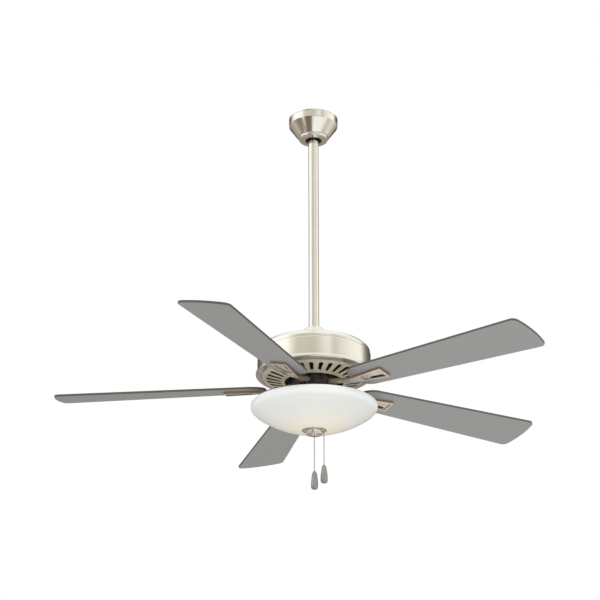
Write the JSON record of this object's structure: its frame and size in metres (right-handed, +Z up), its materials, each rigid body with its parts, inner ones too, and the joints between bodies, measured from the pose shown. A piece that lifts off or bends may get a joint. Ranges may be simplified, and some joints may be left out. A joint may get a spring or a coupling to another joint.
{
  "type": "ceiling fan with light",
  "caption": "Downrod ceiling fan with flat pitched blades on cast arms, a vented motor housing, an opal glass bowl light and beaded pull chains with drop-shaped fobs.",
  "frame": {"origin": "centre of the hanger bracket's upper face, in the ceiling plane", "axes": "+Z up out of the ceiling face, +X along the row of the two bracket slots; the fan hangs along -Z"},
  "size_m": [1.2466, 1.2737, 1.03],
  "materials": {
    "nickel": "brushed warm nickel plate, satin",
    "nickel_screws": "nickel-plated screws",
    "zinc_steel": "zinc-plated pressed steel, satin",
    "ball_nylon": "black nylon, satin",
    "plain_steel": "plain steel",
    "dark_steel": "blackened steel",
    "cast_metal": "cast, grey",
    "lamination": "stacked electrical steel",
    "copper": "enamelled copper wire",
    "bearing_steel": "ground bearing steel",
    "black_paint": "matt black paint",
    "switch_plastic": "moulded switch body",
    "black_plastic": "moulded, satin",
    "white_paint": "white reflector enamel",
    "holder_plastic": "phenolic lamp holder",
    "lamp_glass": "opal lamp envelope",
    "opal_glass": "opal white glass, smooth outside",
    "rubber": "soft washer",
    "wire_plastic": "insulated wire",
    "chain_metal": "nickel-plated beads",
    "fob": "satin nickel drop",
    "blade_board": "silver-grey laminate on board, satin"
  },
  "bodies": {
    "ceiling_mount": {"hanger_bracket": "zinc_steel", "ceiling_canopy": "nickel", "canopy_screws": "nickel_screws"},
    "fan_frame": {"hanger_ball": "ball_nylon", "cross_pins": "plain_steel", "cotter_pin": "plain_steel", "set_screws": "dark_steel", "downrod": "nickel", "coupling_cover": "nickel", "motor_yoke": "cast_metal", "housing_dome": "nickel", "housing_band": "nickel", "vent_ring": "nickel", "housing_screws": "plain_steel", "motor_shaft": "plain_steel", "stator_core": "lamination", "stator_windings": "copper", "bearing_inner_races": "bearing_steel", "switch_plate": "zinc_steel", "lock_nuts": "plain_steel", "switch_housing": "nickel", "speed_switch": "switch_plastic", "light_switch": "switch_plastic", "capacitor": "black_plastic", "reverse_switch": "black_plastic", "fitter_pan": "white_paint", "crossbar": "zinc_steel", "lamp_holders": "holder_plastic", "lamps": "lamp_glass", "nipple": "plain_steel", "glass_bowl": "opal_glass", "finial": "nickel", "bowl_washer": "rubber", "wiring": "wire_plastic"},
    "rotor": {"bearing_outer_races": "bearing_steel", "bearing_balls": "bearing_steel", "rotor_top_bell": "black_paint", "rotor_bottom_bell": "black_paint", "rotor_ring": "lamination", "blade_hub": "black_paint", "hub_screws": "dark_steel", "blade_screws": "nickel_screws", "blade_arm_1": "nickel", "blade_arm_2": "nickel", "blade_arm_3": "nickel", "blade_arm_4": "nickel", "blade_arm_5": "nickel", "blade_1": "blade_board", "blade_2": "blade_board", "blade_3": "blade_board", "blade_4": "blade_board", "blade_5": "blade_board"},
    "reverse_knob": {"reverse_knob": "black_plastic"},
    "speed_chain_upper": {"speed_chain_inner": "chain_metal"},
    "speed_chain_lower": {"speed_chain": "chain_metal", "speed_fob": "fob"},
    "light_chain_upper": {"light_chain_inner": "chain_metal"},
    "light_chain_lower": {"light_chain": "chain_metal", "light_fob": "fob"}
  },
  "joints": [
    {"name": "hanger_swing", "type": "hinge", "parent": "ceiling_mount", "child": "fan_frame", "pos_m": [0, 0, -0.037], "axis": [1, 0, 0], "range_deg": [-12, 12]},
    {"name": "rotor_spin", "type": "hinge", "parent": "fan_frame", "child": "rotor", "pos_m": [0, 0, -0.766], "axis": [0, 0, 1], "continuous": true},
    {"name": "reverse_slide", "type": "slide", "parent": "fan_frame", "child": "reverse_knob", "axis": [1, 0, 0], "range_m": [0, 0.005]},
    {"name": "speed_pull", "type": "slide", "parent": "fan_frame", "child": "speed_chain_upper", "axis": [0, 0, -1], "range_m": [0, 0.012], "stiffness_N_per_m": 600, "springref_m": -0.003},
    {"name": "speed_swing", "type": "hinge", "parent": "speed_chain_upper", "child": "speed_chain_lower", "pos_m": [0, 0, -0.8946], "axis": [1, 0, 0], "range_deg": [-15, 15]},
    {"name": "light_pull", "type": "slide", "parent": "fan_frame", "child": "light_chain_upper", "axis": [0, 0, -1], "range_m": [0, 0.012], "stiffness_N_per_m": 600, "springref_m": -0.003},
    {"name": "light_swing", "type": "hinge", "parent": "light_chain_upper", "child": "light_chain_lower", "pos_m": [0.024, 0, -0.884], "axis": [1, 0, 0], "range_deg": [-15, 15]}
  ]
}
